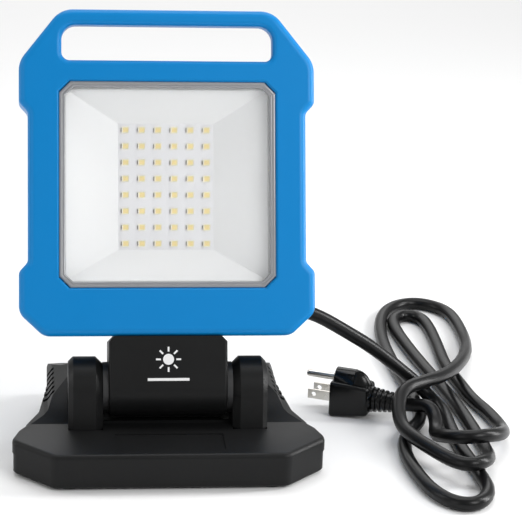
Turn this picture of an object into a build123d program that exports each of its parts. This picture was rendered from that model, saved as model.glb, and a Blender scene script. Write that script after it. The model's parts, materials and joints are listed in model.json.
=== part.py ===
from build123d import *
import math
import os

# A mains LED work light: a moulded head with a handle, tilting in two ears on a weighted base.
# Origin: centre of the base's outline on the floor. +X to the right seen from the front,
# +Y towards the back, +Z up. Millimetres.

# ---- base ----
BASE_W = 193.0          # width
BASE_D = 160.0          # depth
BASE_CHAMFER = 25.0     # plan chamfer at the front corners
WAIST_HALF = 74.5       # half width of the base behind the ears
CORNER_R = 7.0          # rounding of the plan corners
FOOT_H = 1.5            # rubber feet stand out by this
TRAY_TOP = 15.0         # parting line of tray and shell
DECK_Z = 23.5           # flat deck in front of the hump
DECK_EDGE_R = 3.0       # rounding of the deck's rim
SHELL_OUT = 0.6         # the shell overhangs the tray by this
BASE_WALL = 2.5
HUMP_Z = 40.0           # top of the rear hump
HUMP_HALF = 71.5        # half width of the hump at its shoulder
HUMP_TOP_HALF = 61.0    # half width of its flat top
HUMP_FOOT_HALF = 77.0   # half width of the hump where it meets the deck
HUMP_START = 30.0       # top of the hump starts this far behind the tilt axis
HUMP_BACK = 47.0        # hump's top ends this far before the back edge
SLOPE_START = -12.0     # slope to the hump starts at this offset from the tilt axis
GAP = 0.3               # clearance between neighbouring loose pieces
SEAT = 0.1              # clearance of pieces seated in pockets

# ---- tilt axis ----
AXIS_Y = -17.0
AXIS_Z = 43.0
REST_TILT = 20.5        # the head leans back by this at rest
BLOCK_R = 18.0          # half thickness of the hinge block and radius of its round end
BLOCK_HALF = 37.0       # half width of the hinge block
BLOCK_SHOULDER = 5.0    # size of the cut across its upper corners
EAR_R = 19.6            # round top of the ears
EAR_IN = 40.5           # inner face of each ear
EAR_OUT = 62.0          # outer face of each ear
EAR_FOOT_HALF = 22.5    # half depth of the ear at the deck
EAR_BEVEL = 4.5         # facets on the ear's edges
EAR_TONGUE = 14.0       # ear reaches this far below the deck
AXLE_R = 5.0
AXLE_FIT = 0.05         # radial running clearance of the axle
BUSH_WALL = 1.5
WASHER_R = 16.0

# ---- head, measured along its face (v) and through it (w) from the tilt axis ----
HEAD_W = 185.0
FACE_W = -18.0          # the face lies this far in front of the axis
HEAD_T = 30.0           # thickness of the frame
HEAD_BOTTOM = 32.0      # bottom edge above the axis
HEAD_H = 204.0
NOTCH_HALF = 87.0       # half width between the side bumpers
HEAD_EDGE_R = 4.5       # rounding all round the frame, front and back
TOP_CORNER_R = 16.0
LOW_CORNER_R = 10.0
WAIST_CORNER_R = 5.0
SLOT_HALF = 66.0
SLOT_LOW = 204.0
SLOT_HIGH = 226.0
SLOT_RIM_R = 3.2
LIP_DEPTH = 10.0        # depth of the lip round the slot; behind it the frame is hollowed
LIP_STEP = 4.4          # the hollow is this much wider than the slot all round
BEZEL_HALF = 67.7
BEZEL_LOW = 62.0
BEZEL_HIGH = 190.8
BEZEL_CORNER = 6.5
BEZEL_RING = 3.8
BEZEL_DEPTH = 3.2
POCKET_RIM = 1.2        # chamfer round the lens pocket
GLASS_T = 3.0
SEAL_T = 1.2
REFLECTOR_T = 1.2
BOARD_T = 1.6
BOARD_HALF_W = 36.0
BOARD_HALF_H = 46.0
WINDOW_HALF_W = 30.2
WINDOW_HALF_H = 39.9
LED_PITCH = 10.28
LED_COLS = 6
LED_ROWS = 8
LED_W = 4.4
LED_H = 4.1
LED_T = 1.0
SINK_PLATE = 4.0
FIN_T = 2.0
FIN_H = 8.0
FIN_COUNT = 11
COVER_HALF = 45.0
COVER_LOW = 38.0
COVER_HIGH = 112.0
COVER_DEPTH = 38.0      # back of the driver cover behind the axis
COVER_WALL = 2.5
SWITCH_V = 92.0
SWITCH_R = 9.0
SWITCH_TRAVEL = 2.0

# ---- cord ----
CORD_D = 9.0
GLAND_V = 48.5
GLAND_DEPTH = 27.0      # gland axis behind the tilt axis
GLAND_R = 8.0
GLAND_L = 8.0
RELIEF_L = 24.0
FLOOR = CORD_D / 2 + 0.1      # centre line of a cord lying on the floor
STEP = CORD_D + 0.7           # rise from one layer of cord to the next
LAYER_1 = FLOOR + STEP
LAYER_2 = FLOOR + 2 * STEP
LEAD_POINTS = 7               # points of the route that belong to the hanging lead

# ---- plug ----
PLUG_AXIS_Z = 12.5
PLUG_BODY_L = 26.0
PLUG_BODY_W = 25.0
PLUG_RELIEF_L = 20.0
BLADE_W = 6.35
BLADE_T = 1.5
BLADE_L = 16.0
BLADE_HALF_PITCH = 6.35
GROUND_R = 2.4
GROUND_L = 19.2
GROUND_RISE = 11.9
PLUG_BACK = (139.5, 36.0)     # where the relief leaves the plug's body
PLUG_TURN = 155.0             # the prongs point this way, degrees from +X

os.makedirs("parts", exist_ok=True)


# ---- shared shapes ----
def on_head(shape):
    """From the head's own frame (x, through w, up v) to its place at rest."""
    return Pos(0, AXIS_Y, AXIS_Z) * Rot(-REST_TILT, 0, 0) * shape


def slab(sketch, w_low, w_high):
    """A sketch in (x, v) made solid between two depths."""
    return Rot(90, 0, 0) * Pos(0, 0, -w_high) * extrude(sketch, w_high - w_low)


def area(half, low, high):
    """A rectangle centred in x, from v low to v high."""
    return Pos(0, (low + high) / 2) * Rectangle(2 * half, high - low)


def cut_corners(half, low, high, corner):
    """The same rectangle with its corners cut at 45 degrees."""
    return chamfer(area(half, low, high).vertices(), corner)


def head_box(x0, x1, w0, w1, v0, v1):
    centre = Pos((x0 + x1) / 2, (w0 + w1) / 2, (v0 + v1) / 2)
    return centre * Box(x1 - x0, w1 - w0, v1 - v0)


def rod_x(radius, x0, x1):
    """A cylinder along x, centred on the local origin."""
    return Pos((x0 + x1) / 2, 0, 0) * Rot(0, 90, 0) * Cylinder(radius, x1 - x0)


def rod_w(x, v, radius, w0, w1):
    """A cylinder through the head."""
    return Pos(x, (w0 + w1) / 2, v) * Rot(90, 0, 0) * Cylinder(radius, w1 - w0)


def post(x, y, radius, z0, z1):
    return Pos(x, y, (z0 + z1) / 2) * Cylinder(radius, z1 - z0)


def mirrored(points):
    """Both halves of an outline given for x > 0, from the bottom up."""
    return points + [(-x, v) for x, v in reversed(points)]


def save(name, shape):
    solids = shape if isinstance(shape, list) else [shape]
    flat = [s for piece in solids for s in piece.solids()]
    export_step(Compound(children=flat), f"parts/{name}.step")
    print(name, len(flat), round(sum(s.volume for s in flat)))


# ---- head frame ----
TOP = HEAD_BOTTOM + HEAD_H
BUMPER_LOW = HEAD_BOTTOM + 40.0
BUMPER_HIGH = TOP - 58.5
NOTCH_RUN = 6.0
half = HEAD_W / 2
outline = Polygon(
    *mirrored(
        [
            (half - 15.5, HEAD_BOTTOM),
            (half, HEAD_BOTTOM + 14.5),
            (half, BUMPER_LOW),
            (NOTCH_HALF, BUMPER_LOW + NOTCH_RUN),
            (NOTCH_HALF, BUMPER_HIGH - NOTCH_RUN),
            (half, BUMPER_HIGH),
            (half, TOP - 33.0),
            (half - 26.0, TOP),
        ]
    ),
    align=None,
)
WAIST_FROM = HEAD_BOTTOM + 20
WAIST_TO = TOP - 40
outline = fillet([p for p in outline.vertices() if WAIST_FROM < p.Y < WAIST_TO], WAIST_CORNER_R)
outline = fillet([p for p in outline.vertices() if p.Y > WAIST_TO], TOP_CORNER_R)
outline = fillet([p for p in outline.vertices() if p.Y < WAIST_FROM], LOW_CORNER_R)
BACK_W = FACE_W + HEAD_T
body = slab(outline, FACE_W, BACK_W)
rim = body.faces().sort_by(Axis.Y)[0].edges() + body.faces().sort_by(Axis.Y)[-1].edges()
body = fillet(rim, HEAD_EDGE_R)
slot = area(SLOT_HALF, SLOT_LOW, SLOT_HIGH)
slot = fillet(slot.vertices().group_by(Axis.Y)[-1], 9)
slot = fillet(slot.vertices().group_by(Axis.Y)[0], 5)
handle_hole = slab(slot, FACE_W - 1, BACK_W + 1)
body -= handle_hole
slot_rim = [
    e
    for e in body.edges().filter_by_position(Axis.Y, FACE_W - 0.01, FACE_W + 0.01)
    if abs(e.center().Z - (SLOT_LOW + SLOT_HIGH) / 2) < 12 and abs(e.center().X) < SLOT_HALF + 1
]
body = fillet(slot_rim, SLOT_RIM_R)
hollow = area(SLOT_HALF + LIP_STEP, SLOT_LOW - LIP_STEP, SLOT_HIGH + LIP_STEP)
hollow = fillet(hollow.vertices().group_by(Axis.Y)[-1], 13)
body -= slab(hollow, FACE_W + LIP_DEPTH, BACK_W + 1)
GLASS_BACK = FACE_W + 0.4 + BEZEL_DEPTH + GLASS_T
LEDGE_W = GLASS_BACK + SEAL_T
SINK_FRONT = 5.6
SINK_HALF = 66.0
LEDGE_IN = 3.0
body -= slab(cut_corners(BEZEL_HALF, BEZEL_LOW, BEZEL_HIGH, BEZEL_CORNER), FACE_W - 1, LEDGE_W)
pocket_rim = [
    e
    for e in body.edges().filter_by_position(Axis.Y, FACE_W - 0.01, FACE_W + 0.01)
    if BEZEL_LOW - 1 < e.center().Z < BEZEL_HIGH + 1 and abs(e.center().X) < BEZEL_HALF + 1
]
body = chamfer(pocket_rim, POCKET_RIM)
mouth_hole = area(BEZEL_HALF - LEDGE_IN, BEZEL_LOW + LEDGE_IN, BEZEL_HIGH - LEDGE_IN)
body -= slab(mouth_hole, LEDGE_W, SINK_FRONT)
body -= slab(area(SINK_HALF, BEZEL_LOW, BEZEL_HIGH), SINK_FRONT, BACK_W + 1)
SCREW_R = 2.0
BLOCK_SCREWS = [(-24, -6), (24, -6), (-24, 6), (24, 6)]
for x, w in BLOCK_SCREWS:
    body -= Pos(x, w, HEAD_BOTTOM + 8) * Cylinder(SCREW_R, 17)
COVER_SCREWS = [(-40, 43), (40, 67), (-40, 107), (40, 107)]
for x, v in COVER_SCREWS:
    if v < BEZEL_LOW:
        body -= rod_w(x, v, SCREW_R, 2, BACK_W + 1)
save("head_frame", on_head(body))

# ---- lens side ----
BEZEL_FRONT = FACE_W + 0.4
BEZEL_BACK = BEZEL_FRONT + BEZEL_DEPTH
ring = cut_corners(BEZEL_HALF - SEAT, BEZEL_LOW + SEAT, BEZEL_HIGH - SEAT, BEZEL_CORNER)
opening = cut_corners(
    BEZEL_HALF - BEZEL_RING, BEZEL_LOW + BEZEL_RING, BEZEL_HIGH - BEZEL_RING, BEZEL_CORNER - 1.5
)
bezel = slab(ring, BEZEL_FRONT, BEZEL_BACK) - slab(opening, BEZEL_FRONT - 1, BEZEL_BACK + 1)
bezel = chamfer(bezel.faces().sort_by(Axis.Y)[0].edges(), 0.6)
save("lens_bezel", on_head(bezel))

glass = cut_corners(BEZEL_HALF - 0.5, BEZEL_LOW + 0.5, BEZEL_HIGH - 0.5, BEZEL_CORNER)
save("lens_glass", on_head(slab(glass, BEZEL_BACK, GLASS_BACK)))

seal = cut_corners(BEZEL_HALF - 0.5, BEZEL_LOW + 0.5, BEZEL_HIGH - 0.5, BEZEL_CORNER)
seal_hole = cut_corners(BEZEL_HALF - LEDGE_IN, BEZEL_LOW + LEDGE_IN, BEZEL_HIGH - LEDGE_IN, 4.7)
save("lens_seal", on_head(slab(seal, GLASS_BACK, LEDGE_W) - slab(seal_hole, GLASS_BACK - 1, LEDGE_W + 1)))

LED_CENTRE = (BEZEL_LOW + BEZEL_HIGH) / 2
BOARD_FRONT = SINK_FRONT - BOARD_T
RIM_HALF = BEZEL_HALF - LEDGE_IN - GAP
RIM_HALF_V = (BEZEL_HIGH - BEZEL_LOW) / 2 - LEDGE_IN - GAP


def funnel(shrink, w0, w1):
    """The reflector's form, its mouth at w0 and its throat at w1, drawn in by a wall."""
    mouth = Pos(0, LED_CENTRE) * Rectangle(2 * (RIM_HALF - shrink), 2 * (RIM_HALF_V - shrink))
    throat = Pos(0, LED_CENTRE) * Rectangle(
        2 * (WINDOW_HALF_W + REFLECTOR_T - shrink), 2 * (WINDOW_HALF_H + REFLECTOR_T - shrink)
    )
    return Rot(90, 0, 0) * loft([Pos(0, 0, -w1) * throat, Pos(0, 0, -w0) * mouth])


reflector = funnel(0, LEDGE_W, BOARD_FRONT) - funnel(REFLECTOR_T, LEDGE_W, BOARD_FRONT)
save("reflector", on_head(reflector))

board = slab(
    Pos(0, LED_CENTRE) * Rectangle(2 * BOARD_HALF_W, 2 * BOARD_HALF_H), BOARD_FRONT, SINK_FRONT
)
save("led_board", on_head(board))

leds = []
for col in range(LED_COLS):
    for row in range(LED_ROWS):
        x = (col - (LED_COLS - 1) / 2) * LED_PITCH
        v = LED_CENTRE + (row - (LED_ROWS - 1) / 2) * LED_PITCH
        leds.append(
            on_head(
                head_box(
                    x - LED_W / 2, x + LED_W / 2, BOARD_FRONT - LED_T, BOARD_FRONT,
                    v - LED_H / 2, v + LED_H / 2,
                )
            )
        )
save("led_chips", leds)

# ---- heat sink and driver box ----
SINK_BACK = SINK_FRONT + SINK_PLATE
plate = slab(area(SINK_HALF - SEAT, BEZEL_LOW + SEAT, BEZEL_HIGH - SEAT), SINK_FRONT, SINK_BACK)
PAD_TOP = COVER_HIGH + 2
plate += slab(area(SINK_HALF - SEAT, BEZEL_LOW + SEAT, PAD_TOP), SINK_FRONT, BACK_W)
for i in range(FIN_COUNT):
    x = (i - (FIN_COUNT - 1) / 2) * 2 * (SINK_HALF - 6) / (FIN_COUNT - 1)
    plate += head_box(
        x - FIN_T / 2, x + FIN_T / 2, SINK_FRONT, SINK_BACK + FIN_H,
        PAD_TOP - 1, BEZEL_HIGH - 3,
    )
STANDOFFS = [(-28, 68), (28, 68), (-28, 102), (28, 102)]
for x, v in STANDOFFS:
    plate -= rod_w(x, v, 1.5, SINK_FRONT + 1, BACK_W + 1)
for x, v in COVER_SCREWS:
    if v >= BEZEL_LOW:
        plate -= rod_w(x, v, SCREW_R, SINK_FRONT + 1, BACK_W + 1)
save("heat_sink", on_head(plate))

SEAL_BACK = BACK_W + 1.0
cover_area = fillet(area(COVER_HALF, COVER_LOW, COVER_HIGH).vertices(), 6)
cover_room = fillet(
    area(COVER_HALF - COVER_WALL, COVER_LOW + COVER_WALL, COVER_HIGH - COVER_WALL).vertices(), 1.5
)
gasket = slab(cover_area, BACK_W, SEAL_BACK) - slab(cover_room, BACK_W - 1, SEAL_BACK + 1)
cover = slab(cover_area, SEAL_BACK, COVER_DEPTH)
cover = fillet(cover.faces().sort_by(Axis.Y)[-1].edges(), 4)
cover -= slab(cover_room, SEAL_BACK - 1, COVER_DEPTH - COVER_WALL)
EAR_BOSS_R = 4.5
for x, v in COVER_SCREWS:
    cover += rod_w(x, v, EAR_BOSS_R, SEAL_BACK, COVER_DEPTH - 1) & slab(cover_area, SEAL_BACK, COVER_DEPTH)
    gasket += rod_w(x, v, EAR_BOSS_R, BACK_W, SEAL_BACK) & slab(cover_area, BACK_W, SEAL_BACK)
HEAD_SINK = 3.0
SCREW_HEAD_R = 3.4
for x, v in COVER_SCREWS:
    cover -= rod_w(x, v, SCREW_R + 0.2, SEAL_BACK - 1, COVER_DEPTH + 1)
    cover -= rod_w(x, v, SCREW_HEAD_R + 0.3, COVER_DEPTH - HEAD_SINK, COVER_DEPTH + 1)
    gasket -= rod_w(x, v, SCREW_R + 0.2, BACK_W - 1, SEAL_BACK + 1)
cover -= rod_w(0, SWITCH_V, SWITCH_R, COVER_DEPTH - COVER_WALL - 1, COVER_DEPTH + 1)
THREAD_R = 5.6
gland_at = Pos(0, GLAND_DEPTH, GLAND_V)
cover -= gland_at * rod_x(THREAD_R, COVER_HALF - COVER_WALL - 1, COVER_HALF + 1)
save("driver_cover", on_head(cover))
save("cover_seal", on_head(gasket))


def machine_screw(x, v, w_tip, w_head):
    """A pan head screw driven forwards from behind the head."""
    shank = rod_w(x, v, SCREW_R - SEAT, w_tip, w_head - 2.4)
    cap = rod_w(x, v, SCREW_HEAD_R, w_head - 2.4, w_head)
    cross = head_box(x - 0.5, x + 0.5, w_head - 1.2, w_head + 1, v - 2, v + 2)
    cross += head_box(x - 2, x + 2, w_head - 1.2, w_head + 1, v - 0.5, v + 0.5)
    return shank + cap - cross


save(
    "cover_screws",
    [on_head(machine_screw(x, v, 8, COVER_DEPTH - HEAD_SINK + 2.4)) for x, v in COVER_SCREWS],
)

PCB_W = BACK_W + 5
pcb = slab(area(33, 64, 106), PCB_W, PCB_W + BOARD_T)
for x, v in STANDOFFS:
    pcb -= rod_w(x, v, 1.6, PCB_W - 1, PCB_W + 3)
save("driver_board", on_head(pcb))
pillars = []
for x, v in STANDOFFS:
    pillar = rod_w(x, v, 3, BACK_W, PCB_W) + rod_w(x, v, 1.4, SINK_FRONT + 2, PCB_W + BOARD_T + 0.8)
    pillars.append(on_head(pillar))
save("board_standoffs", pillars)
PARTS_W = PCB_W + BOARD_T
parts_on_board = [
    head_box(-24, -8, PARTS_W, PARTS_W + 12, 68, 80),
    rod_w(2, 73, 5, PARTS_W, PARTS_W + 11),
    rod_w(15, 73, 4, PARTS_W, PARTS_W + 10),
    head_box(14, 26, PARTS_W, PARTS_W + 6, 82, 96),
    head_box(-30, -16, PARTS_W, PARTS_W + 5, 91, 100),
]
save("driver_parts", [on_head(p) for p in parts_on_board])

# ---- switch ----
SWITCH_SEAT = COVER_DEPTH - COVER_WALL
socket = rod_w(0, SWITCH_V, SWITCH_R + 2.5, SWITCH_SEAT - 9, SWITCH_SEAT)
socket -= rod_w(0, SWITCH_V, SWITCH_R - 1, SWITCH_SEAT - 6, SWITCH_SEAT + 1)
save("switch_socket", on_head(socket))
button = rod_w(0, SWITCH_V, SWITCH_R - 1.05, SWITCH_SEAT - 6 + SWITCH_TRAVEL + 0.3, COVER_DEPTH + 2.5)
button = fillet(button.faces().sort_by(Axis.Y)[-1].edges(), 1.5)
save("switch_button", on_head(button))

# ---- gland on the right-hand wall ----
gland = rod_x(THREAD_R - SEAT, COVER_HALF - COVER_WALL - 5, COVER_HALF)
gland += rod_x(GLAND_R, COVER_HALF, COVER_HALF + GLAND_L)
gland -= rod_x(CORD_D / 2, COVER_HALF - COVER_WALL - 6, COVER_HALF + GLAND_L - 3)
save("cord_gland", on_head(gland_at * gland))
nut_outline = Plane.YZ.offset(COVER_HALF - COVER_WALL - 4) * RegularPolygon(GLAND_R - 0.4, 6)
nut = extrude(nut_outline, 4) - rod_x(THREAD_R, COVER_HALF - COVER_WALL - 6, COVER_HALF)
save("gland_nut", on_head(gland_at * nut))
tail = rod_x(CORD_D / 2 - SEAT, COVER_HALF - COVER_WALL - 10, COVER_HALF + GLAND_L - 3)
save("lead_tail", on_head(gland_at * tail))
RELIEF_START = COVER_HALF + GLAND_L
relief = Pos(RELIEF_START + RELIEF_L / 2, 0, 0) * Rot(0, 90, 0) * Cone(
    GLAND_R - 1.0, CORD_D / 2 + 0.7, RELIEF_L
)
save("cord_relief", on_head(gland_at * relief))

# ---- hinge block ----
profile = Pos(0, HEAD_BOTTOM / 2) * Rectangle(2 * BLOCK_R, HEAD_BOTTOM) + Circle(BLOCK_R)
block = extrude(Plane.YZ.offset(-BLOCK_HALF) * profile, 2 * BLOCK_HALF)
side_edges = block.faces().sort_by(Axis.X)[0].edges() + block.faces().sort_by(Axis.X)[-1].edges()
side_edges = [e for e in side_edges if e.center().Z < HEAD_BOTTOM - 0.1]
block = fillet(side_edges, 1.8)
for side in (-1, 1):
    wedge = Pos(side * BLOCK_HALF, 0, HEAD_BOTTOM) * Rot(0, 45, 0) * Box(BLOCK_SHOULDER, 60, BLOCK_SHOULDER)
    block -= wedge
BORE_R = AXLE_R + AXLE_FIT + BUSH_WALL
block -= rod_x(BORE_R, -BLOCK_HALF - 1, BLOCK_HALF + 1)
for x, w in BLOCK_SCREWS:
    block -= Pos(x, w, 20) * Cylinder(SCREW_R, 40)
save("hinge_block", on_head(block))
BUSH_L = 14.0
bush = rod_x(BORE_R, BLOCK_HALF - BUSH_L, BLOCK_HALF) - rod_x(AXLE_R + AXLE_FIT, 0, BLOCK_HALF + 1)
save("axle_bushes", [on_head(bush), on_head(mirror(bush, about=Plane.YZ))])
studs = []
for x, w in BLOCK_SCREWS:
    studs.append(on_head(Pos(x, w, HEAD_BOTTOM + 3) * Cylinder(SCREW_R - SEAT, 24)))
save("block_screws", studs)

# ---- ears, axle and washers ----
at_axis = Pos(0, AXIS_Y, AXIS_Z)
DECK_DROP = AXIS_Z - DECK_Z
TONGUE_BOTTOM = -DECK_DROP - EAR_TONGUE


def ear():
    """The right-hand ear: round top, straight flanks that widen to the deck, and a tongue below."""
    flank = Polygon(
        (-EAR_FOOT_HALF, TONGUE_BOTTOM), (EAR_FOOT_HALF, TONGUE_BOTTOM),
        (EAR_FOOT_HALF, -DECK_DROP), (EAR_R, 0), (-EAR_R, 0),
        (-EAR_FOOT_HALF, -DECK_DROP), align=None,
    )
    blank = extrude(Plane.YZ.offset(EAR_IN) * (flank + Circle(EAR_R)), EAR_OUT - EAR_IN)
    inner = [
        e for e in blank.faces().sort_by(Axis.X)[0].edges() if e.center().Z > TONGUE_BOTTOM + 1
    ]
    blank = chamfer(inner, EAR_BEVEL)
    outer = [
        e for e in blank.faces().sort_by(Axis.X)[-1].edges() if e.center().Z > TONGUE_BOTTOM + 1
    ]
    return chamfer(outer, EAR_BEVEL - 1.5)


HEAD_POCKET = 6.0
POCKET_R = 9.2
right_ear = ear() - rod_x(AXLE_R, EAR_IN - 1, EAR_OUT + 1)
right_ear -= rod_x(POCKET_R, EAR_OUT - HEAD_POCKET, EAR_OUT + 1)
EAR_SCREW_X = (EAR_IN + EAR_OUT) / 2
EAR_SCREW_Y = 14.0
for y in (-EAR_SCREW_Y, EAR_SCREW_Y):
    right_ear -= Pos(EAR_SCREW_X, y, TONGUE_BOTTOM + 5) * Cylinder(SCREW_R, 12)
save("ear_right", at_axis * right_ear)
save("ear_left", at_axis * mirror(right_ear, about=Plane.YZ))
washer = rod_x(WASHER_R, BLOCK_HALF + SEAT, EAR_IN) - rod_x(AXLE_R, BLOCK_HALF, EAR_IN + 1)
save("friction_washers", [at_axis * washer, at_axis * mirror(washer, about=Plane.YZ)])
axle = rod_x(AXLE_R, -(EAR_OUT - HEAD_POCKET), EAR_OUT - 1.8)
axle += rod_x(8, -(EAR_OUT - 1.8), -(EAR_OUT - HEAD_POCKET))
save("tilt_axle", at_axis * axle)
hexagon = Plane.YZ.offset(EAR_OUT - HEAD_POCKET) * RegularPolygon(8.8, 6)
lock_nut = extrude(hexagon, HEAD_POCKET - 2) - rod_x(AXLE_R, 0, EAR_OUT + 1)
save("axle_nut", at_axis * lock_nut)
cap = rod_x(POCKET_R, EAR_OUT - 1.6, EAR_OUT)
save("axle_caps", [at_axis * cap, at_axis * mirror(cap, about=Plane.YZ)])

# ---- base shell ----
FRONT = -BASE_D / 2
BACK = BASE_D / 2


def plan(inset):
    """The base's outline from above, wide in front and narrow behind the ears, drawn in by inset."""
    side = BASE_W / 2
    right = [
        (side - BASE_CHAMFER, FRONT), (side, FRONT + BASE_CHAMFER),
        (side, FRONT + BASE_CHAMFER + 6), (side - 3.5, FRONT + 43),
        (WAIST_HALF + 5.5, FRONT + 66), (WAIST_HALF, 28), (WAIST_HALF, BACK - 20),
        (WAIST_HALF - 16.5, BACK),
    ]
    flat = Polygon(*mirrored(right), align=None)
    if inset:
        flat = offset(flat, -inset, kind=Kind.INTERSECTION)
    return fillet(flat.vertices(), CORNER_R)


def hump(inset):
    """The raised rear housing: its section across, met by its section from front to back."""
    foot = HUMP_FOOT_HALF + 11 - inset
    across = [
        (foot, TRAY_TOP), (foot, DECK_Z - 1 - inset), (HUMP_FOOT_HALF - inset, DECK_Z + 3 - inset),
        (HUMP_HALF + 3 - inset, DECK_Z + 4.5 - inset), (HUMP_HALF - inset, HUMP_Z - 7 - inset),
        (HUMP_TOP_HALF - inset, HUMP_Z - inset),
    ]
    wide = extrude(Plane.XZ.offset(-BACK) * Polygon(*mirrored(across), align=None), BASE_D)
    y0 = AXIS_Y + SLOPE_START
    y1 = AXIS_Y + HUMP_START
    long_side = [
        (y0, TRAY_TOP), (BACK - 4 - inset, TRAY_TOP), (BACK - 8 - inset, DECK_Z + 2 - inset),
        (BACK - HUMP_BACK + 5 - inset, HUMP_Z - 3 - inset), (BACK - HUMP_BACK - inset, HUMP_Z - inset),
        (y1 + inset / 2, HUMP_Z - inset), (y0, DECK_Z - inset),
    ]
    length = extrude(Plane.YZ.offset(-BASE_W / 2) * Polygon(*long_side, align=None), BASE_W)
    footprint = extrude(Pos(0, 0, TRAY_TOP) * plan(inset), HUMP_Z)
    return wide & length & footprint


def swing(inset):
    """Room for the hinge block, from rest to leaning fully back."""
    reach = BLOCK_R + 3.0 + inset
    room = rod_x(reach, -EAR_IN - 1 - inset, EAR_IN + 1 + inset)
    arm = Pos(0, 0, 30) * Box(2 * (EAR_IN + 1 + inset), 2 * reach, 60)
    for angle in (-REST_TILT, -TILT_LIMIT):
        room += Rot(angle, 0, 0) * arm
    return at_axis * room


TILT_LIMIT = 45.0


def shell_form(inset):
    low = extrude(Pos(0, 0, TRAY_TOP) * plan(inset), DECK_Z - TRAY_TOP - inset)
    if inset == 0:
        low = fillet(low.faces().sort_by(Axis.Z)[-1].edges(), DECK_EDGE_R)
    return low + hump(inset) - swing(inset)


outside = shell_form(0)
shell = outside - shell_form(BASE_WALL)
pocket_half = (EAR_OUT - EAR_IN) / 2 + SEAT
for side in (-1, 1):
    pocket = Box(2 * pocket_half, 2 * (EAR_FOOT_HALF + SEAT), 60)
    shell -= Pos(side * EAR_SCREW_X, AXIS_Y, AXIS_Z) * pocket
RECESS_HALF = 33.5
shell -= Pos(0, FRONT + 21.5, DECK_Z) * Box(2 * RECESS_HALF, 24, 1.2)
VENTS = 6
VENT_PITCH = 8.0
VENT_START = 18.0       # the first one lies this far behind the tilt axis
VENT_LEAN = 25.0
for side in (-1, 1):
    for i in range(VENTS):
        y = AXIS_Y + VENT_START + i * VENT_PITCH
        turned = Pos(side * (HUMP_HALF + 2.2), y, DECK_Z + 6) * Rot(12, side * -VENT_LEAN, 0)
        shell -= turned * Box(4, 3.6, 11)
POSTS = [(-80, -55), (80, -55), (-62, 52), (62, 52)]
POST_TOP = 8.0
for x, y in POSTS:
    boss = post(x, y, 4.5, POST_TOP, HUMP_Z) & outside
    shell += boss - post(x, y, SCREW_R, POST_TOP - 1, DECK_Z - BASE_WALL - 2)
save("base_shell", shell)

# ---- base tray ----
tray_plan = plan(SHELL_OUT)
tray = extrude(Pos(0, 0, FOOT_H) * tray_plan, TRAY_TOP - FOOT_H)
tray = chamfer(tray.faces().sort_by(Axis.Z)[0].edges(), 1.2)
tray -= extrude(Pos(0, 0, FOOT_H + BASE_WALL) * plan(SHELL_OUT + BASE_WALL), 30)
PAD_Z = AXIS_Z + TONGUE_BOTTOM
for side in (-1, 1):
    pad = Pos(side * EAR_SCREW_X, AXIS_Y, (FOOT_H + PAD_Z) / 2)
    tray += pad * Box(EAR_OUT - EAR_IN, 2 * EAR_FOOT_HALF, PAD_Z - FOOT_H)
for x, y in POSTS:
    tray += post(x, y, 4.5, FOOT_H, POST_TOP)
screw_places = POSTS + [
    (side * EAR_SCREW_X, AXIS_Y + y) for side in (-1, 1) for y in (-EAR_SCREW_Y, EAR_SCREW_Y)
]
for x, y in screw_places:
    tray -= post(x, y, SCREW_R + 0.2, 0, 20)
    tray -= post(x, y, SCREW_HEAD_R + 0.3, 0, FOOT_H + 3)
FOOT_R = 8.0
FEET = [(-62, -68), (62, -68), (-50, 66), (50, 66)]
FOOT_SINK = 1.0
for x, y in FEET:
    tray -= post(x, y, FOOT_R + SEAT, 0, FOOT_H + FOOT_SINK)
save("base_tray", tray)
save("rubber_feet", [post(x, y, FOOT_R, 0, FOOT_H + FOOT_SINK) for x, y in FEET])


def base_screw(x, y, top):
    head_z = FOOT_H + 3
    body_part = post(x, y, SCREW_R - SEAT, head_z, top) + post(x, y, SCREW_HEAD_R, head_z - 2.2, head_z)
    cross = Pos(x, y, head_z - 2.2) * (Box(4, 1, 2) + Box(1, 4, 2))
    return body_part - cross


save("base_screws", [base_screw(x, y, 17) for x, y in POSTS])
save("ear_screws", [base_screw(x, y, PAD_Z + 9) for x, y in screw_places[len(POSTS):]])
BALLAST_T = 6.0
BALLAST_SCREWS = (-40, 40)
BALLAST_TOP = FOOT_H + BASE_WALL + BALLAST_T
FLOOR_Z = FOOT_H + BASE_WALL
ballast = Pos(0, 38, FLOOR_Z + BALLAST_T / 2) * Box(104, 56, BALLAST_T)
for x in BALLAST_SCREWS:
    ballast -= post(x, 38, SCREW_R + 0.2, 0, 30)
save("ballast_plate", ballast)
save(
    "ballast_screws",
    [
        post(x, 38, SCREW_R, FLOOR_Z, BALLAST_TOP)
        + post(x, 38, SCREW_HEAD_R, BALLAST_TOP, BALLAST_TOP + 2.2)
        for x in BALLAST_SCREWS
    ],
)

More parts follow.
